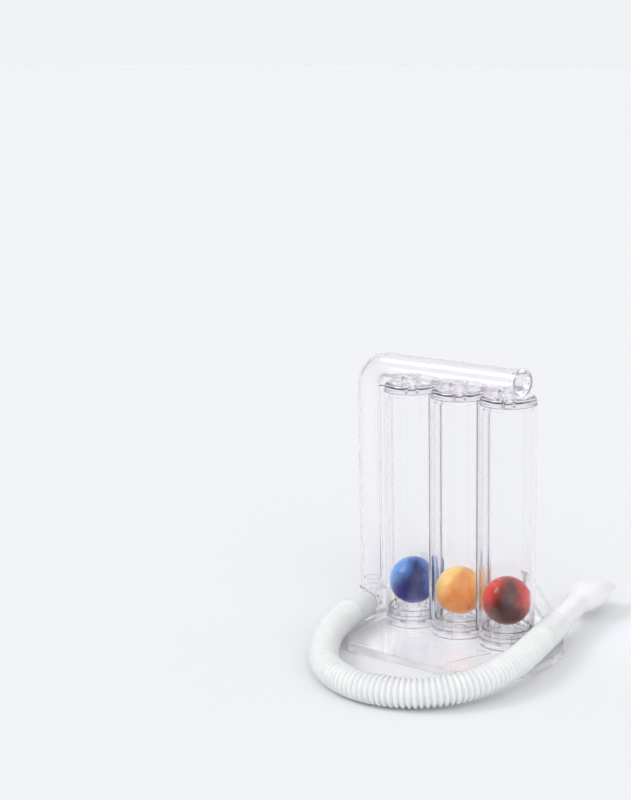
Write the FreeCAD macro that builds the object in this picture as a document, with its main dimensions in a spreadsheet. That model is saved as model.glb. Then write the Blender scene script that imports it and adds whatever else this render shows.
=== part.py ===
import FreeCAD, Part
import math
import os
import re

import Sketcher
from FreeCAD import Placement, Rotation, Vector

# A three-ball incentive spirometer, in millimetres.
# X runs along the row of columns, Y to the back and Z up. The origin is on the table, under the
# axis of the middle column.

SIDES = (("left", -1), ("middle", 0), ("right", 1))

SIZES = (
    # The row of columns
    ("column_pitch", 29.5),
    ("column_bore_radius", 13.0),
    ("column_wall", 1.3),
    ("column_length", 120.0),
    ("column_web_width", 9.0),
    # The balls
    ("ball_radius", 12.5),
    ("ball_seat_gap", 0.3),
    # The base
    ("base_centre_x", 6.5),
    ("base_centre_y", -12.5),
    ("base_front", 49.5),
    ("base_corner_radius", 10.0),
    ("rim_height", 4.0),
    ("rim_width", 4.0),
    ("rim_edge_round", 0.8),
    ("plate_thickness", 3.2),
    ("pad_rear_margin", 2.5),
    ("pad_side_margin", 2.7),
    ("side_window_front", -2.0),
    ("window_neck", 1.91684),
    ("window_corner_round", 2.5),
    ("window_corner_share", 0.4),
    ("panel_back", 18.5),
    ("panel_half_width", 32.5),
    ("panel_front_half_width", 21.5),
    ("panel_side_radius", 90.0),
    ("panel_height", 0.6),
    ("lug_radius", 8.6),
    ("lug_root", 45.0),
    ("ridge_width", 1.2),
    ("ridge_height", 0.8),
    # The plugs that close the columns
    ("plug_fit", 0.1),
    ("foot_wall", 2.2),
    ("foot_inset", 0.3),
    ("inlet_height", 2.3),
    ("inlet_notch_width", 8.0),
    ("inlet_notch_spread", 60.0),
    ("plug_flange", 2.0),
    ("plug_spigot", 2.0),
    ("spigot_wall", 1.3),
    ("inlet_radius_left", 4.8),
    ("inlet_radius_middle", 4.2),
    ("inlet_radius_right", 3.6),
    # The seats under the balls
    ("seat_ring_height", 3.0),
    ("seat_ring_wall", 1.2),
    ("seat_rib_thickness", 1.2),
    ("seat_rib_inner_radius", 5.0),
    ("seat_rib_slope", 35.0),
    ("seat_rib_foot", 0.8),
    ("seat_rib_count", 4),
    # The caps on the columns
    ("cap_height", 4.5),
    ("cap_inset", 0.25),
    ("cap_shoulder_radius", 3.0),
    ("nipple_radius", 3.6),
    ("nipple_wall", 1.1),
    ("nipple_rise", 0.4),
    # The air channel
    ("tube_radius", 6.25),
    ("tube_wall", 1.4),
    ("channel_offset", 27.0),
    ("channel_bend_radius", 12.5),
    ("manifold_gap", 0.5),
    ("manifold_reach", 36.5),
    ("boss_wall", 1.5),
    ("end_cap_length", 4.2),
    ("end_cap_spigot", 3.2),
    ("end_cap_flat", 0.9),
    ("end_cap_lip", 0.45),
    ("channel_web_thickness", 2.4),
    ("channel_web_foot", 24.0),
    ("saddle_gap", 0.05),
    # The port at the foot of the channel
    ("port_radius", 7.2),
    ("port_axis_height", 10.4),
    ("port_yaw", 11.0),
    ("port_top", 17.4),
    ("port_nipple_height", 5.0),
    ("port_nipple_wall", 1.1),
    ("port_edge_round", 0.6),
    ("spigot_radius", 5.9),
    ("spigot_reach", 22.0),
    ("port_floor", 1.8),
    ("port_flange_radius", 6.8),
    ("port_flange_width", 1.3),
    ("port_flange_gap", 0.4),
    ("barb_height", 0.25),
    ("barb_near", 12.1),
    ("barb_far", 16.5),
    # The hose and its cuffs
    ("hose_radius", 7.4),
    ("hose_wall", 1.0),
    ("cuff_radius", 7.4),
    ("cuff_start", 10.2),
    ("hose_start", 24.0),
    ("cuff_edge_round", 0.7),
    ("mouth_cuff_length", 20.5),
    ("mouth_cuff_slack", 0.5),
    # The mouthpiece
    ("stem_radius", 5.9),
    ("stem_wall", 1.5),
    ("stem_insertion", 17.0),
    ("stem_length", 36.0),
    ("lip_root_reach", 6.5),
    ("lip_root_half_width", 8.2),
    ("lip_root_half_height", 7.2),
    ("lip_full_reach", 16.0),
    ("lip_half_width", 10.8),
    ("lip_half_height", 7.6),
    ("lip_taper_reach", 25.8),
    ("lip_taper_half_height", 6.2),
    ("lip_length", 34.0),
    ("tip_half_width", 10.5),
    ("tip_half_height", 4.8),
    # The braces behind the outer columns
    ("brace_turn", 80.0),
    ("brace_thickness", 3.0),
    ("brace_top", 39.6),
    ("brace_depth", 10.6),
    ("brace_heel", 7.2),
    ("brace_flange_width", 5.0),
    ("brace_flange_depth", 1.4),
    ("brace_tuck", 1.0),
)

# The hose's route, from the cuff on the port to the cuff of the mouthpiece: points chosen by hand
HOSE_ROUTE = (
    (-51.92, -23.56, 10.4),
    (-48.20, -42.70, 10.4),
    (-34.80, -68.50, 7.7),
    (-16.00, -89.80, 7.5),
    (12.20, -99.80, 7.5),
    (40.30, -92.30, 7.6),
    (58.80, -70.50, 9.5),
    (61.90, -42.50, 11.9),
    (58.00, -22.00, 11.9),
    (53.70, -3.50, 11.9),
)

document = FreeCAD.newDocument("spirometer")
sheet = document.addObject("Spreadsheet::Sheet", "sizes")
for row, (word, number) in enumerate(SIZES, start=1):
    sheet.set(f"A{row}", word)
    sheet.set(f"B{row}", str(number))
    sheet.setAlias(f"B{row}", word)
document.recompute()

WORDS = {word for word, number in SIZES}
SUBPARTS = []


def formula(text):
    """A formula in the sheet's words, as other objects of the document read it."""
    return re.sub(r"[a-z_]+", lambda m: f"sizes.{m[0]}" if m[0] in WORDS else m[0], str(text))


def value(text):
    """The number that a formula in the sheet's words gives."""
    return float(sheet.evalExpression(formula(text)))


def bind(thing, **settings):
    """Bind properties to formulas; a double underscore in a name stands for a dot."""
    for name, text in settings.items():
        thing.setExpression(name.replace("__", "."), formula(text))


# Heights and radii that follow from the sheet

COLUMN_RADIUS = "(column_bore_radius + column_wall)"
PLUG_FLANGE_LOW = "(plate_thickness + inlet_height)"
COLUMN_LOW = f"({PLUG_FLANGE_LOW} + plug_flange)"
COLUMN_TOP = f"({COLUMN_LOW} + column_length)"
SEAT_LOW = f"({COLUMN_LOW} + plug_spigot)"
BALL_REST = (
    f"({SEAT_LOW} + seat_rib_foot + (ball_radius + ball_seat_gap) / cos(seat_rib_slope))"
)
CAP_TOP = f"({COLUMN_TOP} + cap_height)"
MANIFOLD_HEIGHT = f"({CAP_TOP} + manifold_gap + tube_radius)"
TUBE_BORE = "(tube_radius - tube_wall)"
CHANNEL_X = "(-column_pitch - channel_offset)"
SPIGOT_BORE = "(spigot_radius - tube_wall)"
SPIGOT_RADIUS = "(column_bore_radius - plug_fit)"
PAD_REAR = f"({COLUMN_RADIUS} + pad_rear_margin)"
PAD_SIDE = f"(column_pitch + {COLUMN_RADIUS} + pad_side_margin)"
PAD_REACH = (
    f"sqrt(({PAD_SIDE} - base_centre_x) * ({PAD_SIDE} - base_centre_x)"
    f" + ({PAD_REAR} - base_centre_y) * ({PAD_REAR} - base_centre_y))"
)
RING_RADIUS = f"({PAD_REACH} + window_neck)"
BASE_RADIUS = f"({RING_RADIUS} + rim_width)"
STEM_BORE = "(stem_radius - stem_wall)"


# Small tools for bodies and sketches


def new_body(name):
    body = document.addObject("PartDesign::Body", name)
    body.Label = name
    SUBPARTS.append(body)
    return body


def new_sketch(body, name, role, lift=None):
    """An empty sketch on one of the body's own planes, lifted along that plane's normal."""
    sketch = body.newObject("Sketcher::SketchObject", name)
    plane = next(part for part in body.Origin.OriginFeatures if part.Role == role)
    sketch.AttachmentSupport = [(plane, "")]
    sketch.MapMode = "FlatFace"
    if lift is not None:
        bind(sketch, AttachmentOffset__Base__z=lift)
    return sketch


def hold(sketch, kind, *where, size):
    """A size constraint that a formula drives."""
    index = sketch.addConstraint(Sketcher.Constraint(kind, *where, value(size)))
    sketch.setExpression(f"Constraints[{index}]", formula(size))


def hold_point(sketch, edge, end, along, up):
    """Hold a point of an edge at two distances from the sketch's origin."""
    hold(sketch, "DistanceX", -1, 1, edge, end, size=along)
    hold(sketch, "DistanceY", -1, 1, edge, end, size=up)


def add_polygon(sketch, corners):
    """A closed outline of straight lines through corners given as pairs of formulas."""
    points = [Vector(value(along), value(up), 0) for along, up in corners]
    first = sketch.GeometryCount
    for start, end in zip(points, points[1:] + points[:1]):
        sketch.addGeometry(Part.LineSegment(start, end))
    for index, (along, up) in enumerate(corners):
        before = first + (index - 1) % len(corners)
        sketch.addConstraint(Sketcher.Constraint("Coincident", before, 2, first + index, 1))
        hold_point(sketch, first + index, 1, along, up)


def add_circle(sketch, radius, along="0", up="0"):
    centre = Vector(value(along), value(up), 0)
    edge = sketch.addGeometry(Part.Circle(centre, Vector(0, 0, 1), value(radius)))
    hold(sketch, "Radius", edge, size=radius)
    hold_point(sketch, edge, 3, along, up)


def pad(body, sketch, length, midplane=False):
    feature = body.newObject("PartDesign::Pad", f"{sketch.Name}_pad")
    feature.Profile = sketch
    feature.Midplane = midplane
    bind(feature, Length=length)
    sketch.Visibility = False
    document.recompute()
    return feature


def pocket(body, sketch, depth, midplane=False, turned=False, may_miss=False):
    """Cut a pocket and make sure that it takes something away, unless it may miss."""
    before = body.Shape.Volume
    feature = body.newObject("PartDesign::Pocket", f"{sketch.Name}_pocket")
    feature.Profile = sketch
    feature.Midplane = midplane
    feature.Reversed = turned
    bind(feature, Length=depth)
    document.recompute()
    if body.Shape.Volume > before - 0.01 and not may_miss:
        raise RuntimeError(f"{feature.Name} cuts nothing")
    return feature


def revolve(body, sketch):
    feature = body.newObject("PartDesign::Revolution", f"{sketch.Name}_turn")
    feature.Profile = sketch
    feature.ReferenceAxis = (sketch, ["V_Axis"])
    feature.Angle = 360
    document.recompute()
    return feature


def spin(body, features, count, angle=360):
    """Repeat features round the body's own Z axis."""
    axis = next(part for part in body.Origin.OriginFeatures if part.Role == "Z_Axis")
    pattern = body.newObject("PartDesign::PolarPattern", f"{features[-1].Name}_ring")
    pattern.Originals = features
    pattern.Axis = (axis, [""])
    pattern.Angle = angle
    bind(pattern, Occurrences=count)
    body.Tip = pattern
    document.recompute()
    return pattern


def round_edges(body, name, radius, wanted):
    """Fillet the edges of the body's last feature that a test picks."""
    base = body.Tip
    names = [f"Edge{i}" for i, edge in enumerate(base.Shape.Edges, start=1) if wanted(edge)]
    if not names:
        raise RuntimeError(f"{name} finds no edge")
    feature = body.newObject("PartDesign::Fillet", name)
    feature.Base = (base, names)
    bind(feature, Radius=radius)
    document.recompute()
    return feature


def lies_at(edge, height):
    box = edge.BoundBox
    return max(abs(box.ZMin - height), abs(box.ZMax - height)) < 1e-4


def column_x(side):
    return f"({side} * column_pitch)"


# The base: a thin plate with a raised rim, which ends in an open ring behind the columns


def base_outline(sketch, inset):
    """A circle cut off by a straight front, with rounded corners, all drawn in by an inset."""
    radius = f"({BASE_RADIUS} - {inset})"
    corner = f"(base_corner_radius - {inset})"
    front = f"(-base_front + {inset})"
    centre = Vector(value("base_centre_x"), value("base_centre_y"), 0)
    big = value(radius)
    small = value(corner)
    drop = value(front) + small - centre.y
    reach = math.sqrt((big - small) ** 2 - drop**2)
    turn = math.atan2(drop, reach)
    left = Vector(centre.x - reach, centre.y + drop, 0)
    right = Vector(centre.x + reach, centre.y + drop, 0)
    up = Vector(0, 0, 1)
    rear = Part.ArcOfCircle(Part.Circle(centre, up, big), turn, math.pi - turn)
    left_arc = Part.ArcOfCircle(Part.Circle(left, up, small), math.pi - turn, 1.5 * math.pi)
    right_arc = Part.ArcOfCircle(Part.Circle(right, up, small), 1.5 * math.pi, 2 * math.pi + turn)
    low_left = left - Vector(0, small, 0)
    low_right = right - Vector(0, small, 0)
    edges = [
        sketch.addGeometry(rear),
        sketch.addGeometry(left_arc),
        sketch.addGeometry(Part.LineSegment(low_left, low_right)),
        sketch.addGeometry(right_arc),
    ]
    for near, far in zip(edges, edges[1:] + edges[:1]):
        sketch.addConstraint(Sketcher.Constraint("Tangent", near, 2, far, 1))
    sketch.addConstraint(Sketcher.Constraint("Horizontal", edges[2]))
    sketch.addConstraint(Sketcher.Constraint("Equal", edges[1], edges[3]))
    hold(sketch, "Radius", edges[0], size=radius)
    hold(sketch, "Radius", edges[1], size=corner)
    hold_point(sketch, edges[0], 3, "base_centre_x", "base_centre_y")
    hold(sketch, "DistanceY", -1, 1, edges[2], 1, size=front)


def ring_point(height):
    """Half the width of the ring's inner edge at a height above the base's centre."""
    return f"sqrt(({RING_RADIUS}) * ({RING_RADIUS}) - ({height}) * ({height}))"


def make_base():
    body = new_body("base_plate")
    blank = new_sketch(body, "blank", "XY_Plane")
    base_outline(blank, "0")
    pad(body, blank, "rim_height")
    top = value("rim_height")
    round_edges(body, "rim_round", "rim_edge_round", lambda edge: lies_at(edge, top))

    lug = new_sketch(body, "lug", "XY_Plane")
    add_circle(lug, "lug_radius", CHANNEL_X, "0")
    pad(body, lug, "plate_thickness")
    root = new_sketch(body, "lug_root", "XY_Plane")
    add_polygon(
        root,
        [
            (CHANNEL_X, "-lug_radius"),
            ("-lug_root", "-lug_radius"),
            ("-lug_root", "lug_radius"),
            (CHANNEL_X, "lug_radius"),
        ],
    )
    pad(body, root, "plate_thickness")

    tray = new_sketch(body, "tray", "XY_Plane", "rim_height")
    base_outline(tray, "rim_width")
    pocket(body, tray, "rim_height - plate_thickness")

    # The columns' feet stand on the plate, also where the rim would run under them
    seats = new_sketch(body, "foot_seats", "XY_Plane", "rim_height")
    for name, side_step in SIDES:
        add_circle(seats, COLUMN_RADIUS, column_x(side_step))
    pocket(body, seats, "rim_height - plate_thickness", may_miss=True)

    window = new_sketch(body, "window", "XY_Plane", "rim_height")
    side = "side_window_front"
    left_x = f"(base_centre_x - {ring_point(f'{PAD_REAR} - base_centre_y')})"
    right_x = f"(base_centre_x + {ring_point('side_window_front - base_centre_y')})"
    corners = [(left_x, PAD_REAR), (PAD_SIDE, PAD_REAR), (PAD_SIDE, side), (right_x, side)]
    points = [Vector(value(along), value(up), 0) for along, up in corners]
    for start, end in zip(points, points[1:]):
        window.addGeometry(Part.LineSegment(start, end))
    centre = Vector(value("base_centre_x"), value("base_centre_y"), 0)
    start_turn = math.atan2(points[3].y - centre.y, points[3].x - centre.x)
    end_turn = math.atan2(points[0].y - centre.y, points[0].x - centre.x)
    ring = Part.Circle(centre, Vector(0, 0, 1), value(RING_RADIUS))
    window.addGeometry(Part.ArcOfCircle(ring, start_turn, end_turn))
    for near, far in ((0, 1), (1, 2), (2, 3)):
        window.addConstraint(Sketcher.Constraint("Coincident", near, 2, far, 1))
    window.addConstraint(Sketcher.Constraint("Coincident", 3, 2, 0, 1))
    hold(window, "DistanceY", -1, 1, 0, 1, size=PAD_REAR)
    window.addConstraint(Sketcher.Constraint("Horizontal", 0))
    window.addConstraint(Sketcher.Constraint("Vertical", 1))
    window.addConstraint(Sketcher.Constraint("Horizontal", 2))
    hold_point(window, 1, 2, PAD_SIDE, side)
    hold_point(window, 3, 3, "base_centre_x", "base_centre_y")
    hold(window, "Radius", 3, size=RING_RADIUS)
    pocket(body, window, "rim_height")

    spots = [(value(along), value(up)) for along, up in corners]

    def window_corner(edge):
        box = edge.BoundBox
        upright = box.XLength < 1e-4 and box.YLength < 1e-4
        return upright and any(math.dist((box.XMin, box.YMin), spot) < 0.01 for spot in spots)

    room = f"({right_x} - {PAD_SIDE})"
    corner_round = f"min(window_corner_round; window_corner_share * {room})"
    round_edges(body, "window_round", corner_round, window_corner)

    panel = new_sketch(body, "panel", "XY_Plane", "plate_thickness")
    # The panel runs out under the front of the rim
    front = "(-base_front + rim_width / 2)"
    rear = "(-panel_back)"
    corners = [
        ("-panel_half_width", rear),
        ("-panel_front_half_width", front),
        ("panel_front_half_width", front),
        ("panel_half_width", rear),
    ]
    points = [Vector(value(along), value(up), 0) for along, up in corners]
    bow = value("panel_side_radius")
    chord = points[1] - points[0]
    half = chord.Length / 2
    outward = Vector(-chord.y, chord.x, 0).normalize()
    sink = bow - math.sqrt(bow**2 - half**2)
    left_middle = (points[0] + points[1]) * 0.5 + outward * sink
    right_middle = Vector(-left_middle.x, left_middle.y, 0)
    panel.addGeometry(Part.Arc(points[0], left_middle, points[1]))
    panel.addGeometry(Part.LineSegment(points[1], points[2]))
    panel.addGeometry(Part.Arc(points[2], right_middle, points[3]))
    panel.addGeometry(Part.LineSegment(points[3], points[0]))
    left_ends = {index: find_end(panel, 0, points[index]) for index in (0, 1)}
    right_ends = {index: find_end(panel, 2, points[index]) for index in (2, 3)}
    panel.addConstraint(Sketcher.Constraint("Coincident", 0, left_ends[1], 1, 1))
    panel.addConstraint(Sketcher.Constraint("Coincident", 1, 2, 2, right_ends[2]))
    panel.addConstraint(Sketcher.Constraint("Coincident", 2, right_ends[3], 3, 1))
    panel.addConstraint(Sketcher.Constraint("Coincident", 3, 2, 0, left_ends[0]))
    hold_point(panel, 1, 1, *corners[1])
    hold_point(panel, 1, 2, *corners[2])
    hold_point(panel, 3, 1, *corners[3])
    hold_point(panel, 3, 2, *corners[0])
    hold(panel, "Radius", 0, size="panel_side_radius")
    hold(panel, "Radius", 2, size="panel_side_radius")
    pad(body, panel, "panel_height")

    for name, side_step in SIDES:
        ridge = new_sketch(body, f"ridge_{name}", "XY_Plane", "plate_thickness")
        outer = f"({COLUMN_RADIUS} - foot_inset - foot_wall - plug_fit)"
        add_circle(ridge, outer, column_x(side_step))
        add_circle(ridge, f"{outer} - ridge_width", column_x(side_step))
        pad(body, ridge, "ridge_height")


def find_end(sketch, edge, point):
    """Which end of an edge, 1 or 2, lies at a point."""
    near = (sketch.getPoint(edge, 1) - point).Length
    far = (sketch.getPoint(edge, 2) - point).Length
    return 1 if near < far else 2


# The columns, in one clear moulding with the webs between them


def make_columns():
    tubes = []
    bores = []
    for name, step in SIDES:
        for group, radius, kind in ((tubes, COLUMN_RADIUS, "tube"), (bores, "column_bore_radius", "bore")):
            shape = document.addObject("Part::Cylinder", f"{kind}_{name}")
            bind(
                shape,
                Radius=radius,
                Height="column_length",
                Placement__Base__x=column_x(step),
                Placement__Base__z=COLUMN_LOW,
            )
            group.append(shape)
    for name, step in (("left", -1), ("right", 0)):
        web = document.addObject("Part::Box", f"web_{name}")
        bind(
            web,
            Length="column_pitch",
            Width="column_web_width",
            Height="column_length",
            Placement__Base__x=column_x(step),
            Placement__Base__y="-column_web_width / 2",
            Placement__Base__z=COLUMN_LOW,
        )
        tubes.append(web)
    fin = document.addObject("Part::Box", "channel_web")
    bind(
        fin,
        Length="channel_offset",
        Width="channel_web_thickness",
        Height=f"{COLUMN_TOP} - channel_web_foot",
        Placement__Base__x=CHANNEL_X,
        Placement__Base__y="-channel_web_thickness / 2",
        Placement__Base__z="channel_web_foot",
    )
    tubes.append(fin)
    saddle = document.addObject("Part::Cylinder", "channel_saddle")
    bind(
        saddle,
        Radius="tube_radius + saddle_gap",
        Height=f"{COLUMN_TOP}",
        Placement__Base__x=CHANNEL_X,
        Placement__Base__z="channel_web_foot - saddle_gap",
    )
    bores.append(saddle)
    solid = document.addObject("Part::MultiFuse", "columns_outside")
    solid.Shapes = tubes
    hollow = document.addObject("Part::MultiFuse", "columns_inside")
    hollow.Shapes = bores
    block = document.addObject("Part::Cut", "column_block")
    block.Base = solid
    block.Tool = hollow
    block.Refine = True
    block.Label = "column_block"
    SUBPARTS.append(block)


# The plug under each column: a foot with two notches at the back that let the air in, a flange, a
# spigot and the metered inlet


def make_bottom_cap(name, step):
    body = new_body(f"bottom_cap_{name}")
    profile = new_sketch(body, f"plug_{name}", "XZ_Plane")
    inlet = f"inlet_radius_{name}"
    foot = f"({COLUMN_RADIUS} - foot_inset)"
    add_polygon(
        profile,
        [
            (inlet, PLUG_FLANGE_LOW),
            (f"{foot} - foot_wall", PLUG_FLANGE_LOW),
            (f"{foot} - foot_wall", "plate_thickness"),
            (foot, "plate_thickness"),
            (foot, COLUMN_LOW),
            (SPIGOT_RADIUS, COLUMN_LOW),
            (SPIGOT_RADIUS, SEAT_LOW),
            (f"{SPIGOT_RADIUS} - spigot_wall", SEAT_LOW),
            (f"{SPIGOT_RADIUS} - spigot_wall", COLUMN_LOW),
            (inlet, COLUMN_LOW),
        ],
    )
    revolve(body, profile)
    notch = new_sketch(body, f"notch_{name}", "XZ_Plane")
    add_polygon(
        notch,
        [
            ("-inlet_notch_width / 2", "plate_thickness"),
            ("inlet_notch_width / 2", "plate_thickness"),
            ("inlet_notch_width / 2", PLUG_FLANGE_LOW),
            ("-inlet_notch_width / 2", PLUG_FLANGE_LOW),
        ],
    )
    cut = pocket(body, notch, COLUMN_RADIUS)
    spin(body, [cut], "2", value("inlet_notch_spread"))
    body.Placement = Placement(Vector(), Rotation(Vector(0, 0, 1), -value("inlet_notch_spread") / 2))
    bind(
        body,
        Placement__Base__x=column_x(step),
        Placement__Rotation__Angle="-inlet_notch_spread / 2",
    )


# The seat under each ball: a ring in the bore with sloped ribs that hold the ball off the inlet


def make_ball_seat(name, step):
    body = new_body(f"ball_seat_{name}")
    ring = new_sketch(body, f"seat_ring_{name}", "XY_Plane", SEAT_LOW)
    add_circle(ring, SPIGOT_RADIUS)
    add_circle(ring, f"{SPIGOT_RADIUS} - seat_ring_wall")
    pad(body, ring, "seat_ring_height")
    rib = new_sketch(body, f"seat_rib_{name}", "XZ_Plane")
    low = f"({SEAT_LOW} + seat_rib_foot + seat_rib_inner_radius * tan(seat_rib_slope))"
    root = f"({SPIGOT_RADIUS} - seat_ring_wall / 2)"
    high = f"({SEAT_LOW} + seat_rib_foot + {root} * tan(seat_rib_slope))"
    add_polygon(
        rib,
        [
            ("seat_rib_inner_radius", SEAT_LOW),
            (root, SEAT_LOW),
            (root, high),
            ("seat_rib_inner_radius", low),
        ],
    )
    blade = pad(body, rib, "seat_rib_thickness", midplane=True)
    spin(body, [blade], "seat_rib_count")
    bind(body, Placement__Base__x=column_x(step))


def make_ball(name, step):
    ball = document.addObject("Part::Sphere", name)
    ball.Label = name
    bind(
        ball,
        Radius="ball_radius",
        Placement__Base__x=column_x(step),
        Placement__Base__z=BALL_REST,
    )
    SUBPARTS.append(ball)


# The cap on each column: a plug in the bore, a round shoulder and the nipple for the manifold


def make_top_cap(name, step):
    body = new_body(f"top_cap_{name}")
    profile = new_sketch(body, f"cap_{name}", "XZ_Plane")
    edge = f"({COLUMN_RADIUS} - cap_inset)"
    bore = "(nipple_radius - nipple_wall)"
    nipple_top = f"({MANIFOLD_HEIGHT} - {TUBE_BORE} + nipple_rise)"
    add_polygon(
        profile,
        [
            (bore, COLUMN_TOP),
            (f"{SPIGOT_RADIUS} - spigot_wall", COLUMN_TOP),
            (f"{SPIGOT_RADIUS} - spigot_wall", f"{COLUMN_TOP} - plug_spigot"),
            (SPIGOT_RADIUS, f"{COLUMN_TOP} - plug_spigot"),
            (SPIGOT_RADIUS, COLUMN_TOP),
            (edge, COLUMN_TOP),
            (edge, CAP_TOP),
            ("nipple_radius", CAP_TOP),
            ("nipple_radius", nipple_top),
            (bore, nipple_top),
        ],
    )
    revolve(body, profile)
    rim = value(edge)
    top = value(CAP_TOP)
    round_edges(
        body,
        f"shoulder_{name}",
        "cap_shoulder_radius",
        lambda line: lies_at(line, top) and line.BoundBox.XMax > rim - 0.01,
    )
    bind(body, Placement__Base__x=column_x(step))


# The air channel: up beside the left column, round a bend and along the tops of the columns


def make_channel():
    body = new_body("air_channel")
    spine = new_sketch(body, "channel_path", "XZ_Plane")
    foot = Vector(value(CHANNEL_X), value("port_top"), 0)
    bend = value("channel_bend_radius")
    top = value(MANIFOLD_HEIGHT)
    centre = Vector(foot.x + bend, top - bend, 0)
    spine.addGeometry(Part.LineSegment(foot, Vector(foot.x, centre.y, 0)))
    circle = Part.Circle(centre, Vector(0, 0, 1), bend)
    spine.addGeometry(Part.ArcOfCircle(circle, math.pi / 2, math.pi))
    end = Vector(value("manifold_reach"), top, 0)
    spine.addGeometry(Part.LineSegment(Vector(centre.x, top, 0), end))
    spine.addConstraint(Sketcher.Constraint("Tangent", 0, 2, 1, 2))
    spine.addConstraint(Sketcher.Constraint("Tangent", 1, 1, 2, 1))
    spine.addConstraint(Sketcher.Constraint("Vertical", 0))
    spine.addConstraint(Sketcher.Constraint("Horizontal", 2))
    hold_point(spine, 0, 1, CHANNEL_X, "port_top")
    hold_point(spine, 2, 2, "manifold_reach", MANIFOLD_HEIGHT)
    hold(spine, "Radius", 1, size="channel_bend_radius")

    outside = new_sketch(body, "channel_outside", "XY_Plane", "port_top")
    add_circle(outside, "tube_radius", CHANNEL_X)
    inside = new_sketch(body, "channel_inside", "XY_Plane", "port_top")
    add_circle(inside, TUBE_BORE, CHANNEL_X)
    document.recompute()
    tube = body.newObject("PartDesign::AdditivePipe", "channel_tube")
    tube.Profile = outside
    tube.Spine = (spine, ["Edge1", "Edge2", "Edge3"])
    tube.Mode = "Standard"
    document.recompute()

    bosses = new_sketch(body, "bosses", "XY_Plane", CAP_TOP)
    for name, step in SIDES:
        add_circle(bosses, "nipple_radius + plug_fit + boss_wall", column_x(step))
    pad(body, bosses, "manifold_gap + tube_radius")

    bore = body.newObject("PartDesign::SubtractivePipe", "channel_bore")
    bore.Profile = inside
    bore.Spine = (spine, ["Edge1", "Edge2", "Edge3"])
    bore.Mode = "Standard"
    document.recompute()

    sockets = new_sketch(body, "nipple_sockets", "XY_Plane", CAP_TOP)
    for name, step in SIDES:
        add_circle(sockets, "nipple_radius + plug_fit", column_x(step))
    pocket(body, sockets, "manifold_gap + tube_radius", turned=True)


# The rounded cap that closes the manifold's right end


def make_end_cap():
    body = new_body("manifold_end_cap")
    profile = new_sketch(body, "end_cap", "XZ_Plane")
    spigot = f"({TUBE_BORE} - plug_fit)"
    rim = "(tube_radius + end_cap_lip)"
    add_polygon(
        profile,
        [
            ("0", "-end_cap_spigot + tube_wall"),
            (f"{spigot} - tube_wall", "-end_cap_spigot + tube_wall"),
            (f"{spigot} - tube_wall", "-end_cap_spigot"),
            (spigot, "-end_cap_spigot"),
            (spigot, "0"),
            (rim, "0"),
            (rim, "end_cap_length"),
            ("0", "end_cap_length"),
        ],
    )
    revolve(body, profile)
    top = value("end_cap_length")
    round_edges(body, "end_round", "end_cap_length - end_cap_flat", lambda edge: lies_at(edge, top))
    body.Placement = Placement(Vector(), Rotation(Vector(0, 1, 0), 90))
    bind(body, Placement__Base__x="manifold_reach", Placement__Base__z=MANIFOLD_HEIGHT)


# The port: a closed elbow on the base's lug. The channel's foot slides over its upright nipple, and
# its spigot carries the hose


def make_port():
    body = new_body("hose_port")
    shell = new_sketch(body, "port_shell", "XY_Plane", "plate_thickness")
    add_circle(shell, "port_radius")
    pad(body, shell, "port_top - plate_thickness")
    top = value("port_top")
    round_edges(body, "port_round", "port_edge_round", lambda edge: lies_at(edge, top))
    nipple = new_sketch(body, "port_nipple", "XY_Plane", "port_top")
    add_circle(nipple, f"{TUBE_BORE} - plug_fit")
    pad(body, nipple, "port_nipple_height")
    stub = new_sketch(body, "port_stub", "XZ_Plane")
    add_circle(stub, "spigot_radius", "0", "port_axis_height")
    pad(body, stub, "spigot_reach")
    flange_start = "(cuff_start - port_flange_gap - port_flange_width)"
    flange = new_sketch(body, "port_flange", "XZ_Plane", flange_start)
    add_circle(flange, "port_flange_radius", "0", "port_axis_height")
    pad(body, flange, "port_flange_width")
    for reach in ("barb_near", "barb_far"):
        barb = new_sketch(body, reach, "XZ_Plane", reach)
        add_circle(barb, "spigot_radius + barb_height", "0", "port_axis_height")
        pad(body, barb, "port_flange_width")
    well = new_sketch(body, "port_well", "XY_Plane", "port_top + port_nipple_height")
    add_circle(well, f"{TUBE_BORE} - plug_fit - port_nipple_wall")
    pocket(body, well, "port_top + port_nipple_height - plate_thickness - port_floor")
    way = new_sketch(body, "port_way", "XZ_Plane")
    add_circle(way, SPIGOT_BORE, "0", "port_axis_height")
    pocket(body, way, "spigot_reach", turned=True)
    body.Placement = Placement(Vector(), Rotation(Vector(0, 0, 1), value("port_yaw")))
    bind(body, Placement__Base__x=CHANNEL_X, Placement__Rotation__Angle="port_yaw")


# The cuffs at the hose's two ends; each stands on its own Z axis and is then laid down


def turned_ring(name, bore, outer, low, high, step=None):
    """A sleeve round Z from low to high; a step narrows its bore above a height."""
    body = new_body(name)
    profile = new_sketch(body, f"{name}_profile", "XZ_Plane")
    corners = [(bore, low), (outer, low), (outer, high), (bore, high)]
    if step:
        narrow, shelf = step
        corners = [
            (narrow, low),
            (outer, low),
            (outer, high),
            (bore, high),
            (bore, shelf),
            (narrow, shelf),
        ]
    add_polygon(profile, corners)
    revolve(body, profile)
    return body


def make_unit_cuff():
    reach = "(hose_start - cuff_start)"
    body = turned_ring(
        "cuff_unit_end", "spigot_radius + barb_height + plug_fit", "cuff_radius", "0", reach
    )
    rim = value("cuff_radius")
    round_edges(
        body,
        "unit_cuff_round",
        "cuff_edge_round",
        lambda edge: lies_at(edge, 0) and edge.BoundBox.XMax > rim - 0.01,
    )
    yaw = value("port_yaw")
    turn = Rotation(Vector(0, 0, 1), yaw) * Rotation(Vector(1, 0, 0), 90)
    out = Vector(math.sin(math.radians(yaw)), -math.cos(math.radians(yaw)), 0)
    place = out * value("cuff_start") + Vector(value(CHANNEL_X), 0, value("port_axis_height"))
    body.Placement = Placement(place, turn)


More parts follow.
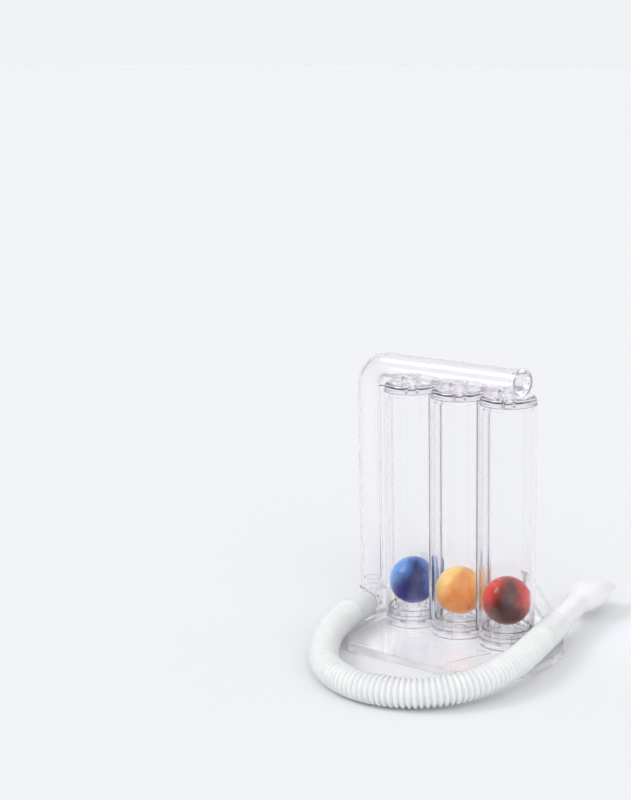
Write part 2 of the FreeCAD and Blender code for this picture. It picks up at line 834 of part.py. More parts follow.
def mouth_placement():
    """The place and turn of the hose's far end, where local Z points out of the hose."""
    before, end = (Vector(*point) for point in HOSE_ROUTE[-2:])
    way = (end - before).normalize()
    yaw = math.degrees(math.atan2(-way.x, way.y))
    turn = Rotation(Vector(0, 0, 1), yaw) * Rotation(Vector(1, 0, 0), -90)
    return Placement(end, turn)


def make_mouth_cuff():
    shelf = "(mouth_cuff_length - stem_insertion - mouth_cuff_slack)"
    body = turned_ring(
        "cuff_mouth_end",
        "stem_radius + plug_fit",
        "cuff_radius",
        "0",
        "mouth_cuff_length",
        step=(f"{STEM_BORE}", shelf),
    )
    rim = value("cuff_radius")
    top = value("mouth_cuff_length")
    round_edges(
        body,
        "mouth_cuff_round",
        "cuff_edge_round",
        lambda edge: lies_at(edge, top) and edge.BoundBox.XMax > rim - 0.01,
    )
    body.Placement = mouth_placement()


# The mouthpiece: a round stem that swells into a flattened lip, hollow all the way


def oval_section(body, name, half_width, half_height, lift):
    sketch = new_sketch(body, name, "XY_Plane", lift)
    wide = value(half_width)
    tall = value(half_height)
    sketch.addGeometry(Part.Ellipse(Vector(wide, 0, 0), Vector(0, tall, 0), Vector(0, 0, 0)))
    sketch.exposeInternalGeometry(0)
    sketch.addConstraint(Sketcher.Constraint("Coincident", 0, 3, -1, 1))
    sketch.addConstraint(Sketcher.Constraint("Horizontal", 1))
    hold(sketch, "Distance", 1, 1, 1, 2, size=f"2 * ({half_width})")
    hold(sketch, "Distance", 2, 1, 2, 2, size=f"2 * ({half_height})")
    return sketch


def loft(body, kind, name, sections):
    feature = body.newObject(f"PartDesign::{kind}", name)
    feature.Profile = sections[0]
    feature.Sections = sections[1:]
    feature.Ruled = False
    document.recompute()
    return feature


def make_mouthpiece():
    body = new_body("mouthpiece")
    start = "stem_length"
    stem = new_sketch(body, "stem", "XY_Plane", "-stem_insertion")
    add_circle(stem, "stem_radius")
    pad(body, stem, "stem_insertion + stem_length")
    steps = (
        ("lip_root_half_width", "lip_root_half_height", "lip_root_reach"),
        ("lip_half_width", "lip_half_height", "lip_full_reach"),
        ("lip_half_width", "lip_taper_half_height", "lip_taper_reach"),
        ("tip_half_width", "tip_half_height", "lip_length"),
    )
    waist = new_sketch(body, "waist", "XY_Plane", start)
    add_circle(waist, "stem_radius")
    throat = new_sketch(body, "throat", "XY_Plane", start)
    add_circle(throat, STEM_BORE)
    sections = [waist]
    hollows = [throat]
    for index, (wide, tall, along) in enumerate(steps):
        lift = f"{start} + {along}"
        sections.append(oval_section(body, f"lip_{index}", wide, tall, lift))
        inner = (f"{wide} - stem_wall", f"{tall} - stem_wall")
        hollows.append(oval_section(body, f"lip_bore_{index}", *inner, lift))
    document.recompute()
    loft(body, "AdditiveLoft", "lip", sections)
    loft(body, "SubtractiveLoft", "lip_bore", hollows)
    bore = new_sketch(body, "stem_bore", "XY_Plane", "-stem_insertion")
    add_circle(bore, STEM_BORE)
    pocket(body, bore, "stem_insertion + stem_length", turned=True)
    place = mouth_placement()
    axis = place.Rotation.multVec(Vector(0, 0, 1))
    body.Placement = Placement(place.Base + axis * value("mouth_cuff_length"), place.Rotation)


# The braces: a flanged band from each outer column's back down to the ring


def ring_reach(step, radius):
    """How far from an outer column's axis a brace meets a circle about the base's centre."""
    across = f"({step} * column_pitch - base_centre_x)"
    along = f"({step} * {across} * cos(brace_turn) - base_centre_y * sin(brace_turn))"
    square = f"({across} * {across} + base_centre_y * base_centre_y - ({radius}) * ({radius}))"
    return f"(sqrt({along} * {along} - {square}) - {along})"


def make_brace(name, step):
    body = new_body(f"brace_{name}")
    heel = ring_reach(step, f"{BASE_RADIUS} - rim_edge_round")
    toe = ring_reach(step, RING_RADIUS)
    start = f"({COLUMN_RADIUS} - brace_tuck)"
    corners = [
        (start, "brace_top"),
        (start, "brace_top - brace_depth"),
        (toe, "rim_height"),
        (heel, "rim_height"),
        (heel, "rim_height + brace_heel"),
    ]
    band = new_sketch(body, f"band_{name}", "XZ_Plane")
    add_polygon(band, corners)
    pad(body, band, "brace_thickness", midplane=True)
    strip = new_sketch(body, f"strip_{name}", "XZ_Plane")
    add_polygon(
        strip,
        [
            (start, "brace_top"),
            (start, "brace_top - brace_flange_depth"),
            (heel, "rim_height + brace_heel - brace_flange_depth"),
            (heel, "rim_height + brace_heel"),
        ],
    )
    pad(body, strip, "brace_flange_width", midplane=True)
    saddle = new_sketch(body, f"saddle_{name}", "XY_Plane")
    add_circle(saddle, f"{COLUMN_RADIUS} + saddle_gap")
    pocket(body, saddle, "brace_top + brace_tuck", turned=True)
    turn = value("brace_turn") if step > 0 else 180 - value("brace_turn")
    body.Placement = Placement(Vector(), Rotation(Vector(0, 0, 1), turn))
    bind(body, Placement__Base__x=column_x(step))
    angle = "brace_turn" if step > 0 else "180 - brace_turn"
    bind(body, Placement__Rotation__Angle=angle)


# The hose: straight runs joined by tangent arcs


def hose_path(points):
    """The wire of a route, each corner an arc as large as its two runs allow."""
    points = [Vector(*point) for point in points]
    edges = []
    start = points[0]
    for before, corner, after in zip(points, points[1:], points[2:]):
        run_in = corner - before
        run_out = after - corner
        turn = run_in.getAngle(run_out)
        cut = 0.45 * min(run_in.Length, run_out.Length)
        radius = cut / math.tan(turn / 2)
        entry = corner - run_in.normalize() * cut
        leave = corner + run_out.normalize() * cut
        inward = (run_out - run_in).normalize()
        centre = corner + inward * (radius / math.cos(turn / 2))
        middle = centre - inward * radius
        print(f"hose turn {math.degrees(turn):.1f} degrees, radius {radius:.1f}")
        edges.append(Part.LineSegment(start, entry).toShape())
        edges.append(Part.Arc(entry, middle, leave).toShape())
        start = leave
    edges.append(Part.LineSegment(start, points[-1]).toShape())
    return Part.Wire(edges)


def make_hose():
    path = hose_path(HOSE_ROUTE)
    start = Vector(*HOSE_ROUTE[0])
    way = Vector(*HOSE_ROUTE[1]) - start
    outer = value("hose_radius")
    inner = outer - value("hose_wall")
    solids = [
        path.makePipeShell([Part.Wire(Part.Circle(start, way, radius).toShape())], True, False)
        for radius in (outer, inner)
    ]
    shape = solids[0].cut(solids[1])
    expected = math.pi * (outer**2 - inner**2) * path.Length
    print(f"hose length {path.Length:.1f}, volume {shape.Volume:.0f} against {expected:.0f}")
    if abs(shape.Volume - expected) > 0.01 * expected:
        raise RuntimeError("the hose's volume is not its section times its length")
    hose = document.addObject("Part::Feature", "hose")
    hose.Shape = shape
    hose.Placement = Placement()
    hose.Label = "hose"
    SUBPARTS.append(hose)


make_base()
make_columns()
for side_name, side_step in SIDES:
    make_bottom_cap(side_name, side_step)
    make_ball_seat(side_name, side_step)
    make_top_cap(side_name, side_step)
make_ball("ball_blue", -1)
make_ball("ball_yellow", 0)
make_ball("ball_red", 1)
make_channel()
make_end_cap()
make_port()
make_unit_cuff()
make_hose()
make_mouth_cuff()
make_mouthpiece()
make_brace("left", -1)
make_brace("right", 1)
document.recompute()

for thing in document.Objects:
    if {"Invalid", "Error"} & set(thing.State):
        raise RuntimeError(f"{thing.Label} is {thing.State}")
for subpart in SUBPARTS:
    if subpart.Shape.isNull() or not subpart.Shape.isValid():
        raise RuntimeError(f"{subpart.Label} has no valid shape")

os.makedirs("parts", exist_ok=True)
for subpart in SUBPARTS:
    subpart.Shape.exportStep(f"parts/{subpart.Label}.step")
    box = subpart.Shape.BoundBox
    print(
        f"{subpart.Label}: {len(subpart.Shape.Solids)} solid, volume {subpart.Shape.Volume:.0f}, "
        f"x {box.XMin:.1f} {box.XMax:.1f}, y {box.YMin:.1f} {box.YMax:.1f}, "
        f"z {box.ZMin:.1f} {box.ZMax:.1f}"
    )
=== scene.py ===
import math

import bpy
from bpy.props import FloatProperty, FloatVectorProperty, IntProperty, PointerProperty
from bpy.types import Operator, Panel, PropertyGroup
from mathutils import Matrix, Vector


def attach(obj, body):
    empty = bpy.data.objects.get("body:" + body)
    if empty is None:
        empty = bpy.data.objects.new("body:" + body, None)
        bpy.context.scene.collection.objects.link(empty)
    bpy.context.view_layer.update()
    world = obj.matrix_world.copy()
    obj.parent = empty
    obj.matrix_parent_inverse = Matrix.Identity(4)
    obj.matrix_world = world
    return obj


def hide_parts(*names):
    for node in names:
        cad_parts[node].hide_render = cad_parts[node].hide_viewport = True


bl_info = {
    "name": "Ball Spirometer",
    "version": (1, 0, 0),
    "blender": (4, 5, 0),
    "location": "View3D > Sidebar > Spirometer",
    "description": "Dresses a three-ball breathing exerciser and lights it in a pale studio",
    "category": "Object",
}

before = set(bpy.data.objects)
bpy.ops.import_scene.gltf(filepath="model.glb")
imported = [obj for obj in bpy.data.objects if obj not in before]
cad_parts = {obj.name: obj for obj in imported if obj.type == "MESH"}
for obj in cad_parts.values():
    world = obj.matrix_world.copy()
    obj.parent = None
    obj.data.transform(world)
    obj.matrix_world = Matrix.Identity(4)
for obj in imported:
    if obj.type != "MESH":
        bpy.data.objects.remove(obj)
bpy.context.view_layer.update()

MM = 0.001

# The route of the hose, from the cuff on the port to the cuff of the mouthpiece, in metres
HOSE_ROUTE = (
    (-0.05192, -0.02356, 0.0104),
    (-0.04820, -0.04270, 0.0104),
    (-0.03480, -0.06850, 0.0077),
    (-0.01600, -0.08980, 0.0075),
    (0.01220, -0.09980, 0.0075),
    (0.04030, -0.09230, 0.0076),
    (0.05880, -0.07050, 0.0095),
    (0.06190, -0.04250, 0.0119),
    (0.05800, -0.02200, 0.0119),
    (0.05370, -0.00350, 0.0119),
)

# The picture's proportions and the camera that the photograph fits, in pixels of its frame
PICTURE_WIDTH = 631
PICTURE_HEIGHT = 800
FOCAL_PIXELS = 1628.22
CENTRE_PIXEL = (459.14, 507.26)


# Sizes of the patterns in the plastics, in metres
FLOW_WAVE_LENGTH = 9 * MM
WALL_PATCH_SIZE = 6 * MM
BLOWN_GRAIN_SIZE = 0.5 * MM
MOULDED_GRAIN_SIZE = 0.8 * MM
DYE_STREAK_SIZE = 8 * MM

# The balls: the two ways whose sides get painted light, how much streaks count, and how fast the
# dye takes light up
PAINTED_LIT_SIDES = ((-0.75, -0.35, 0.55), (0.72, 0.6, 0.15))
STREAK_SHARE = 0.9
DYE_DENSITY = 250.0

# Light scatters as far in each colour
EVEN_SCATTER = (1.0, 1.0, 1.0)

# The studio: the width of the camera's film in millimetres, the floor, and the lamps' places and
# widths in degrees
FILM_WIDTH = 36
FLOOR_REACH = 30.0
FLOOR_DROP = 0.2 * MM
KEY_LAMP = ((-0.8, -0.7, 1.1), 26)
FILL_LAMP = ((0.6, -0.8, 0.6), 60)
SIDE_LAMP = ((0.9, -0.35, 0.3), 60)

# Light crosses up to a dozen clear walls, and is reflected many times inside them
LIGHT_BOUNCES = 48

# Points along each rib of the hose, and how far its collars lie under the ribs' crests
STEPS_PER_RIB = 8
COLLAR_DROP = 0.15 * MM


def linear(code):
    """An sRGB hex colour as linear red, green, blue and alpha."""
    shares = [int(code[i : i + 2], 16) / 255 for i in (0, 2, 4)]
    return (*(s / 12.92 if s <= 0.04045 else ((s + 0.055) / 1.055) ** 2.4 for s in shares), 1.0)


WHITE = linear("FFFFFF")


def colour(name, code, note):
    return FloatVectorProperty(
        name=name, description=note, subtype="COLOR", size=4, min=0, max=1, default=linear(code)
    )


def length(name, size, note):
    return FloatProperty(name=name, description=note, default=size, min=0, unit="LENGTH")


class SpirometerSizes(PropertyGroup):
    """Sizes of the pieces that are made here."""

    hose_radius: length("Hose crest radius", 7.35 * MM, "Radius of the hose over its ribs")
    hose_groove: length("Hose groove depth", 1.3 * MM, "Depth of the grooves between ribs")
    hose_pitch: length("Hose rib pitch", 2.7 * MM, "Distance from one rib to the next")
    hose_wall: length("Hose wall", 0.7 * MM, "Thickness of the hose's wall")
    hose_collar: length("Hose collar", 3.0 * MM, "Plain length at each end of the hose")
    hose_sides: IntProperty(
        name="Hose sides", description="Points round the hose", default=56, min=12
    )


class SpirometerColours(PropertyGroup):
    """Colours of the plastics."""

    clear_tint: colour("Clear plastic", "D8D3E1", "What thick clear plastic does to white light")
    violet_tint: colour("Violet clear plastic", "CBB4D2", "The same for channel and top caps")
    hose: colour("Hose", "F6F7F7", "Milky flexible plastic")
    mouthpiece: colour("Mouthpiece", "E7E7E9", "White plastic")
    # Painted light: each ball's colour on its sides painted as if lit, and also where dye streaks
    # are thin
    skin_blue: colour("Blue skin", "6EB4FF", "The ball by the air channel, where dye is thin")
    skin_yellow: colour("Yellow skin", "FFE08C", "The middle ball, where dye is thin")
    skin_red: colour("Red skin", "FF4430", "The ball on the right, where dye is thin")
    # Painted shade: each ball's colour away from its painted lit sides, and also where dye
    # streaks are dense
    dense_and_shaded_blue: colour("Dense blue", "2A2AB4", "The blue skin where dye is dense")
    dense_and_shaded_yellow: colour("Dense yellow", "E8A84E", "The yellow skin where dye is dense")
    dense_and_shaded_red: colour("Dense red", "960C08", "The red skin where dye is dense")
    depth_blue: colour("Blue depth", "3A46DC", "What the blue plastic lets through")
    depth_yellow: colour("Yellow depth", "FFEFE0", "What the yellow plastic lets through")
    depth_red: colour("Red depth", "CC0A08", "What the red plastic lets through")
    floor: colour("Floor", "E3E4E7", "Matte pale floor")


class SpirometerStage(PropertyGroup):
    """The studio."""

    lens: FloatProperty(
        name="Lens",
        description="Focal length of the camera in millimetres",
        default=FOCAL_PIXELS * FILM_WIDTH / PICTURE_HEIGHT,
        min=1,
    )
    distance: length("Camera distance", 829.13 * MM, "From the aim point to the camera")
    aim_height: length("Aim height", 70 * MM, "Height of the aim point over the floor")
    azimuth: FloatProperty(
        name="Azimuth",
        description="How far the camera stands round from the front",
        default=math.radians(35),
        subtype="ANGLE",
    )
    elevation: FloatProperty(
        name="Elevation",
        description="How far the camera looks down",
        default=math.radians(15.6),
        subtype="ANGLE",
    )
    key_strength: FloatProperty(
        name="Key strength", description="Strength of the main soft light", default=0.9, min=0
    )
    fill_strength: FloatProperty(
        name="Fill strength", description="Strength of the fill light", default=0.9, min=0
    )
    side_strength: FloatProperty(
        name="Side strength", description="Strength of the low side light", default=0.45, min=0
    )
    sky_strength: FloatProperty(
        name="Sky strength", description="Light from all round", default=0.76, min=0
    )


# Materials


def new_material(name):
    """A material with an empty tree, and its tree."""
    material = bpy.data.materials.new(name)
    material.use_nodes = True
    material.node_tree.nodes.clear()
    return material, material.node_tree


def add_node(tree, kind, inputs=None, **settings):
    """Add a node, set its settings, and fill or link its inputs."""
    node = tree.nodes.new(kind)
    for name, setting in settings.items():
        setattr(node, name, setting)
    for name, source in (inputs or {}).items():
        if isinstance(source, bpy.types.NodeSocket):
            tree.links.new(source, node.inputs[name])
        else:
            node.inputs[name].default_value = source
    return node


def add_noise(tree, place, size, detail):
    """Noise whose patches have a real size, in metres."""
    return add_node(
        tree,
        "ShaderNodeTexNoise",
        {"Vector": place.outputs["Object"], "Scale": 1 / size, "Detail": detail},
    ).outputs["Fac"]


def add_bump(tree, height, strength, distance):
    """A normal that leans with the slope of a height; the distance is in metres."""
    return add_node(
        tree, "ShaderNodeBump", {"Strength": strength, "Distance": distance, "Height": height}
    ).outputs["Normal"]


def add_ramp(tree, share, low, low_colour, high, high_colour):
    """A colour that goes from one at a low share to another at a high share."""
    ramp = add_node(tree, "ShaderNodeValToRGB", {"Fac": share})
    for element, place, shade in zip(
        ramp.color_ramp.elements, (low, high), (low_colour, high_colour)
    ):
        element.position = place
        element.color = shade
    return ramp.outputs["Color"]


def add_along(tree, direction, way):
    """How far a direction points along a fixed way, as a share."""
    return add_node(
        tree, "ShaderNodeVectorMath", {0: direction, 1: way}, operation="DOT_PRODUCT"
    ).outputs["Value"]


def add_math(tree, operation, *terms):
    """What an operation makes of its terms."""
    return add_node(
        tree, "ShaderNodeMath", dict(enumerate(terms)), operation=operation
    ).outputs["Value"]


def finish_material(tree, surface, volume=None):
    """End a material in its surface, and in what it does to the light inside it."""
    ends = {"Surface": surface.outputs[0]}
    if volume:
        ends["Volume"] = volume.outputs["Volume"]
    add_node(tree, "ShaderNodeOutputMaterial", ends)


def clear_polystyrene(name, tint, density, roughness, clearness):
    """General-purpose polystyrene, injection moulded and polished.

    It shows grey where the eye looks along a wall, and faint waves from the flow of the melt.
    Its shadow is pale, as such thin walls let most of a lamp's light through.
    """
    material, tree = new_material(name)
    place = add_node(tree, "ShaderNodeTexCoord")
    wave = add_noise(tree, place, FLOW_WAVE_LENGTH, 1.5)
    shader = add_node(
        tree,
        "ShaderNodeBsdfPrincipled",
        {
            "Base Color": WHITE,
            "Roughness": roughness,
            "IOR": 1.5,
            "Transmission Weight": clearness,
            "Normal": add_bump(tree, wave, 0.18, 0.25 * MM),
        },
    )
    path = add_node(tree, "ShaderNodeLightPath")
    passed = add_node(tree, "ShaderNodeBsdfTransparent", {"Color": linear("FEFEFF")})
    mix = add_node(
        tree,
        "ShaderNodeMixShader",
        {0: path.outputs["Is Shadow Ray"], 1: shader.outputs[0], 2: passed.outputs[0]},
    )
    haze = add_node(tree, "ShaderNodeVolumeAbsorption", {"Color": tint, "Density": density})
    finish_material(tree, mix, haze)
    return material


def milky_polyethylene(colours):
    """Soft low-density polyethylene, blown into a corrugated hose.

    It is milky and lets some light through, so its ribs look soft and their grooves pale.
    """
    material, tree = new_material("Blown milky polyethylene")
    place = add_node(tree, "ShaderNodeTexCoord")
    # The wall thickens and thins in cloudy patches
    cloud = add_noise(tree, place, WALL_PATCH_SIZE, 3.0)
    grain = add_noise(tree, place, BLOWN_GRAIN_SIZE, 2.0)
    shader = add_node(
        tree,
        "ShaderNodeBsdfPrincipled",
        {
            "Base Color": add_ramp(tree, cloud, 0.3, linear("EFF1F2"), 0.7, colours.hose),
            "Roughness": 0.26,
            "IOR": 1.4,
            "Transmission Weight": 0.22,
            "Subsurface Weight": 0.08,
            "Subsurface Radius": EVEN_SCATTER,
            "Subsurface Scale": 2 * MM,
            "Normal": add_bump(tree, grain, 0.15, 0.05 * MM),
        },
    )
    finish_material(tree, shader)
    return material


def white_polyethylene(colours):
    """White high-density polyethylene, injection moulded.

    It is smooth with a soft waxy gloss and a fine grain.
    """
    material, tree = new_material("Moulded white polyethylene")
    place = add_node(tree, "ShaderNodeTexCoord")
    grain = add_noise(tree, place, MOULDED_GRAIN_SIZE, 3.0)
    shader = add_node(
        tree,
        "ShaderNodeBsdfPrincipled",
        {
            "Base Color": add_ramp(tree, grain, 0.0, linear("E0E0E3"), 1.0, colours.mouthpiece),
            "Roughness": 0.3,
            "IOR": 1.54,
            "Subsurface Weight": 0.25,
            "Subsurface Radius": EVEN_SCATTER,
            "Subsurface Scale": 2 * MM,
            "Normal": add_bump(tree, grain, 0.12, 0.04 * MM),
        },
    )
    finish_material(tree, shader)
    return material


def tinted_ball(name, skin, dense_and_shaded, depth, clearest):
    """Dyed polypropylene ball, moulded and tumbled to a gloss.

    It is translucent and deep in the middle, with streaks of dye. Its upper left and right sides
    have painted light, a lighter colour as if lamps shone on them, and away from them its colour
    is painted shade.
    """
    material, tree = new_material(f"Polished {name} polypropylene")
    place = add_node(tree, "ShaderNodeTexCoord")
    streak = add_noise(tree, place, DYE_STREAK_SIZE, 2.0)
    # Painted light: the sides that face two fixed ways come out lighter
    sides = [add_along(tree, place.outputs["Normal"], way) for way in PAINTED_LIT_SIDES]
    side = add_math(tree, "MAXIMUM", *sides)
    # Real dye streaks, plus the painted light of the lit sides
    streak_and_painted_light = add_math(tree, "MULTIPLY_ADD", streak, STREAK_SHARE, side)
    # Where dye streaks are thin and on the painted lit sides, light scatters at the skin; where
    # dye is dense and the painted shade lies, it goes into the ball
    clear = add_node(
        tree,
        "ShaderNodeMapRange",
        {"Value": streak_and_painted_light, "From Min": 0.7, "From Max": 1.45, "To Min": clearest, "To Max": 0.35},
    )
    shader = add_node(
        tree,
        "ShaderNodeBsdfPrincipled",
        {
            # Painted light and shade: from the shaded to the lit colour of the ball, with real
            # dye streaks between
            "Base Color": add_ramp(tree, streak_and_painted_light, 0.5, dense_and_shaded, 1.0, skin),
            "Roughness": 0.15,
            "IOR": 1.08,
            "Transmission Weight": clear.outputs["Result"],
            "Coat Weight": 0.75,
            "Coat Roughness": 0.03,
            "Coat IOR": 1.45,
        },
    )
    dye = add_node(tree, "ShaderNodeVolumeAbsorption", {"Color": depth, "Density": DYE_DENSITY})
    finish_material(tree, shader, dye)
    return material


def matte_paper(colours):
    """Matte paper roll under the object."""
    material, tree = new_material("Matte paper")
    shader = add_node(
        tree, "ShaderNodeBsdfPrincipled", {"Base Color": colours.floor, "Roughness": 0.9}
    )
    finish_material(tree, shader)
    return material


# Geometry


def link(thing):
    """Put an object into the scene."""
    bpy.context.scene.collection.objects.link(thing)
    return thing


def mesh_object(name, points, faces, material, smooth=30):
    """A mesh object with faces smooth up to an angle between them."""
    mesh = bpy.data.meshes.new(name)
    mesh.from_pydata(points, [], faces)
    mesh.shade_smooth()
    mesh.set_sharp_from_angle(angle=math.radians(smooth))
    mesh.materials.append(material)
    return link(bpy.data.objects.new(name, mesh))


def route_points(route):
    """Points along the smooth curve that a route's control points give."""
    curve = bpy.data.curves.new("route", "CURVE")
    curve.dimensions = "3D"
    curve.resolution_u = 24
    spline = curve.splines.new("NURBS")
    spline.points.add(len(route) - 1)
    for point, place in zip(spline.points, route):
        point.co = (*place, 1)
    spline.order_u = 3
    spline.use_endpoint_u = True
    holder = link(bpy.data.objects.new("route", curve))
    mesh = bpy.data.meshes.new_from_object(holder)
    points = [vertex.co.copy() for vertex in mesh.vertices]
    bpy.data.objects.remove(holder)
    bpy.data.meshes.remove(mesh)
    bpy.data.curves.remove(curve)
    return points


def even_points(points, count):
    """The same line with evenly spaced points."""
    reach = [0.0]
    for near, far in zip(points, points[1:]):
        reach.append(reach[-1] + (far - near).length)
    even = []
    at = 0
    for index in range(count + 1):
        goal = reach[-1] * index / count
        while at < len(points) - 2 and reach[at + 1] < goal:
            at += 1
        share = (goal - reach[at]) / (reach[at + 1] - reach[at])
        even.append(points[at].lerp(points[at + 1], min(share, 1.0)))
    return even


def swept_rings(points, radii, sides):
    """Rings of points round a line, turned as little as possible from one to the next."""
    ways = [points[1] - points[0]]
    ways += [after - before for before, after in zip(points, points[2:])]
    ways.append(points[-1] - points[-2])
    side = Vector((0, 0, 1))
    rings = []
    for point, way, radius in zip(points, ways, radii):
        way = way.normalized()
        side = (side - way * side.dot(way)).normalized()
        up = way.cross(side)
        turns = [2 * math.pi * k / sides for k in range(sides)]
        rings.append([point + radius * (math.cos(t) * side + math.sin(t) * up) for t in turns])
    return rings


def closed_shell(rings, sides):
    """Points and faces of rings that follow each other and close on the first."""
    points = [point for ring in rings for point in ring]
    faces = []
    for index in range(len(rings)):
        this, after = index * sides, (index + 1) % len(rings) * sides
        for k in range(sides):
            step = (k + 1) % sides
            faces.append((this + k, this + step, after + step, after + k))
    return points, faces


def own_slot(piece, body, slot, *nodes):
    """Say which body a piece rides on and which nodes it replaces. The slot is not used."""
    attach(piece, body)
    if nodes:
        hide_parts(*nodes)
    return piece


class SPIROMETER_OT_stage(Operator):
    """Make the floor, the lights and the camera"""

    bl_idname = "spirometer.stage"
    bl_label = "Studio"

    def execute(self, context):
        scene = context.scene
        stage = scene.spirometer_stage
        colours = scene.spirometer_colours
        scene.view_settings.view_transform = "Standard"

        scene.cycles.max_bounces = LIGHT_BOUNCES
        scene.cycles.transmission_bounces = LIGHT_BOUNCES
        scene.cycles.glossy_bounces = LIGHT_BOUNCES
        scene.cycles.transparent_max_bounces = LIGHT_BOUNCES

        # The floor lies a hair lower than the base, so that light gets under the clear plate
        corners = [
            (x * FLOOR_REACH, y * FLOOR_REACH, -FLOOR_DROP)
            for x, y in ((-1, -1), (1, -1), (1, 1), (-1, 1))
        ]
        floor = mesh_object("floor", corners, [(0, 1, 2, 3)], matte_paper(colours))

        self.make_camera(scene, stage)
        self.make_world(scene, stage)
        self.make_lamp("key light", *KEY_LAMP, stage.key_strength)
        self.make_lamp("fill light", *FILL_LAMP, stage.fill_strength)
        self.make_lamp("side light", *SIDE_LAMP, stage.side_strength)
        return {"FINISHED"}

    def make_camera(self, scene, stage):
        flat = math.cos(stage.elevation)
        back = Vector(
            (
                math.sin(stage.azimuth) * flat,
                -math.cos(stage.azimuth) * flat,
                math.sin(stage.elevation),
            )
        )
        aim = Vector((0, 0, stage.aim_height))
        data = bpy.data.cameras.new("camera")
        data.lens = stage.lens
        data.sensor_width = FILM_WIDTH
        data.shift_x = (PICTURE_WIDTH / 2 - CENTRE_PIXEL[0]) / PICTURE_HEIGHT
        data.shift_y = (CENTRE_PIXEL[1] - PICTURE_HEIGHT / 2) / PICTURE_HEIGHT
        data.clip_start = 0.01
        camera = link(bpy.data.objects.new("camera", data))
        camera.location = aim + back * stage.distance
        camera.rotation_euler = back.to_track_quat("Z", "Y").to_euler()
        scene.camera = camera

    def make_world(self, scene, stage):
        """A pale surround, as the eye and clear plastic see it, and a plain level of light."""
        world = bpy.data.worlds.new("surround")
        scene.world = world
        world.use_nodes = True
        tree = world.node_tree
        tree.nodes.clear()
        path = add_node(tree, "ShaderNodeLightPath")
        seen = add_math(
            tree, "MAXIMUM", path.outputs["Is Camera Ray"], path.outputs["Is Transmission Ray"]
        )
        seen = add_math(tree, "MAXIMUM", seen, path.outputs["Is Glossy Ray"])
        light = add_node(
            tree, "ShaderNodeBackground", {"Color": WHITE, "Strength": stage.sky_strength}
        )
        # Grey cards to the left and right of the set draw the edges of clear plastic
        place = add_node(tree, "ShaderNodeTexCoord")
        right = (math.cos(stage.azimuth), math.sin(stage.azimuth), 0)
        side = add_along(tree, place.outputs["Generated"], right)
        card = add_math(tree, "ABSOLUTE", side)
        shade = add_ramp(tree, card, 0.35, linear("F0F1F4"), 0.75, linear("BAB7C6"))
        pale = add_node(tree, "ShaderNodeBackground", {"Color": shade, "Strength": 1.0})
        mix = add_node(
            tree, "ShaderNodeMixShader", {0: seen, 1: light.outputs[0], 2: pale.outputs[0]}
        )
        add_node(tree, "ShaderNodeOutputWorld", {"Surface": mix.outputs[0]})

    def make_lamp(self, name, place, spread, strength):
        """A far soft light, as wide in the sky as a large diffuser."""
        data = bpy.data.lights.new(name, "SUN")
        data.angle = math.radians(spread)
        data.energy = strength
        lamp = link(bpy.data.objects.new(name, data))
        lamp.location = place
        lamp.rotation_euler = Vector(place).to_track_quat("Z", "Y").to_euler()


class SPIROMETER_OT_hose(Operator):
    """Make the corrugated hose"""

    bl_idname = "spirometer.hose"
    bl_label = "Hose"

    def execute(self, context):
        scene = context.scene
        sizes = scene.spirometer_sizes
        material = milky_polyethylene(scene.spirometer_colours)
        line = route_points(HOSE_ROUTE)
        total = sum((far - near).length for near, far in zip(line, line[1:]))
        ribs = round((total - 2 * sizes.hose_collar) / sizes.hose_pitch)
        pitch = (total - 2 * sizes.hose_collar) / ribs
        count = round(total / (pitch / STEPS_PER_RIB))
        points = even_points(line, count)
        radii = []
        for index in range(count + 1):
            along = total * index / count - sizes.hose_collar
            if 0 < along < ribs * pitch:
                wave = 0.5 + 0.5 * math.cos(2 * math.pi * along / pitch)
                # Crests are wider than grooves
                radii.append(sizes.hose_radius - sizes.hose_groove * wave**1.8)
            else:
                # The collars are nearly as wide as the cuffs that they meet
                radii.append(sizes.hose_radius - COLLAR_DROP)
        inside = [radius - sizes.hose_wall for radius in radii]
        outer = swept_rings(points, radii, sizes.hose_sides)
        inner = swept_rings(points, inside, sizes.hose_sides)
        vertices, faces = closed_shell(outer + inner[::-1], sizes.hose_sides)
        hose = mesh_object("corrugated_hose", vertices, faces, material, smooth=60)
        own_slot(hose, "housing", "milky_hose", "hose")
        for node in ("cuff_unit_end", "cuff_mouth_end"):
            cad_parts[node].material_slots[0].material = material
        return {"FINISHED"}


class SPIROMETER_OT_mouthpiece(Operator):
    """Finish the mouthpiece"""

    bl_idname = "spirometer.mouthpiece"
    bl_label = "Mouthpiece"

    def execute(self, context):
        material = white_polyethylene(context.scene.spirometer_colours)
        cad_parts["mouthpiece"].material_slots[0].material = material
        return {"FINISHED"}


class SPIROMETER_OT_balls(Operator):
    """Finish the three balls"""

    bl_idname = "spirometer.balls"
    bl_label = "Balls"

    def execute(self, context):
        colours = context.scene.spirometer_colours
        # How much light goes into each ball where its dye is dense and its painted shade lies
        for name, clearest in (("blue", 0.95), ("yellow", 0.7), ("red", 0.95)):
            # Each ball's painted lit colour, painted shaded colour, and the real colour that its
            # plastic lets through
            layers = [getattr(colours, f"{layer}_{name}") for layer in ("skin", "dense_and_shaded", "depth")]
            material = tinted_ball(name, *layers, clearest)
            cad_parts[f"ball_{name}"].material_slots[0].material = material
        return {"FINISHED"}


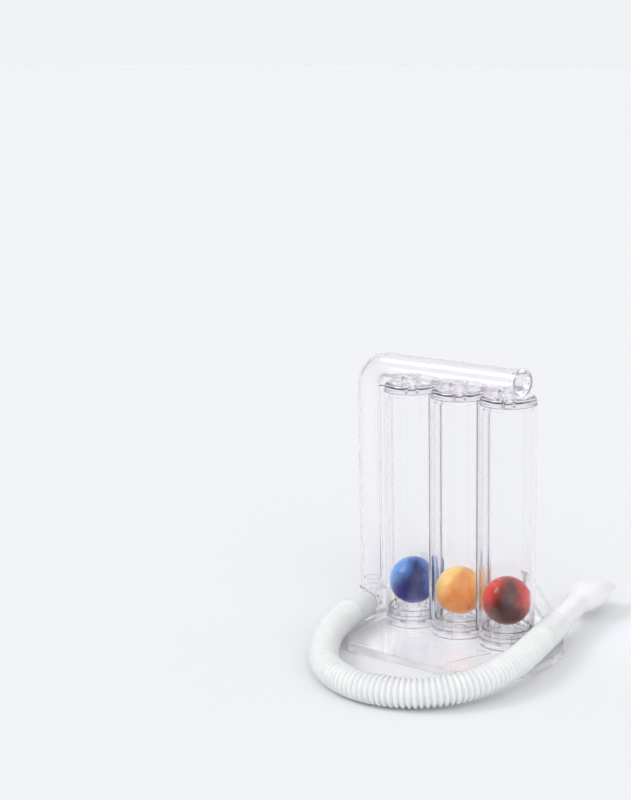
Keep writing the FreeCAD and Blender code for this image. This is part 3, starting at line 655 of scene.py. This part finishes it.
class SPIROMETER_OT_clear_pieces(Operator):
    """Finish the clear mouldings"""

    bl_idname = "spirometer.clear_pieces"
    bl_label = "Clear mouldings"

    def execute(self, context):
        colours = context.scene.spirometer_colours
        clear = colours.clear_tint
        violet = colours.violet_tint
        # The plate and the braces are a little hazy, and the channel and top caps turn to violet
        plain = clear_polystyrene(
            "Clear polystyrene", clear, density=20.0, roughness=0.05, clearness=1.0
        )
        hazy = clear_polystyrene(
            "Hazy polystyrene", clear, density=1.0, roughness=0.08, clearness=0.82
        )
        caps = clear_polystyrene(
            "Faint violet polystyrene", violet, density=9.0, roughness=0.05, clearness=1.0
        )
        channel = clear_polystyrene(
            "Violet polystyrene", violet, density=42.0, roughness=0.09, clearness=0.95
        )
        others = {
            "base_plate": hazy,
            "brace_left": hazy,
            "brace_right": hazy,
            "top_cap_left": caps,
            "top_cap_middle": caps,
            "top_cap_right": caps,
            "air_channel": channel,
        }
        for name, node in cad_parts.items():
            if node.material_slots[0].material.name.startswith("clear_plastic"):
                node.material_slots[0].material = others.get(name, plain)
        return {"FINISHED"}


class SPIROMETER_PT_panel(Panel):
    """The spirometer's pieces"""

    bl_label = "Spirometer"
    bl_idname = "SPIROMETER_PT_panel"
    bl_space_type = "VIEW_3D"
    bl_region_type = "UI"
    bl_category = "Spirometer"

    def draw(self, context):
        for operator in OPERATORS:
            self.layout.operator(operator.bl_idname)
        for group in ("spirometer_sizes", "spirometer_colours", "spirometer_stage"):
            settings = getattr(context.scene, group)
            box = self.layout.box()
            for name in settings.bl_rna.properties.keys():
                if name not in ("rna_type", "name"):
                    box.prop(settings, name)


OPERATORS = (
    SPIROMETER_OT_stage,
    SPIROMETER_OT_hose,
    SPIROMETER_OT_mouthpiece,
    SPIROMETER_OT_balls,
    SPIROMETER_OT_clear_pieces,
)
CLASSES = (SpirometerSizes, SpirometerColours, SpirometerStage, *OPERATORS, SPIROMETER_PT_panel)


def register():
    for cls in CLASSES:
        bpy.utils.register_class(cls)
    bpy.types.Scene.spirometer_sizes = PointerProperty(type=SpirometerSizes)
    bpy.types.Scene.spirometer_colours = PointerProperty(type=SpirometerColours)
    bpy.types.Scene.spirometer_stage = PointerProperty(type=SpirometerStage)


def unregister():
    del bpy.types.Scene.spirometer_stage
    del bpy.types.Scene.spirometer_colours
    del bpy.types.Scene.spirometer_sizes
    for cls in reversed(CLASSES):
        bpy.utils.unregister_class(cls)


def main():
    register()
    bpy.ops.spirometer.stage()
    bpy.ops.spirometer.hose()
    bpy.ops.spirometer.mouthpiece()
    bpy.ops.spirometer.balls()
    bpy.ops.spirometer.clear_pieces()


if __name__ == "__main__":
    main()
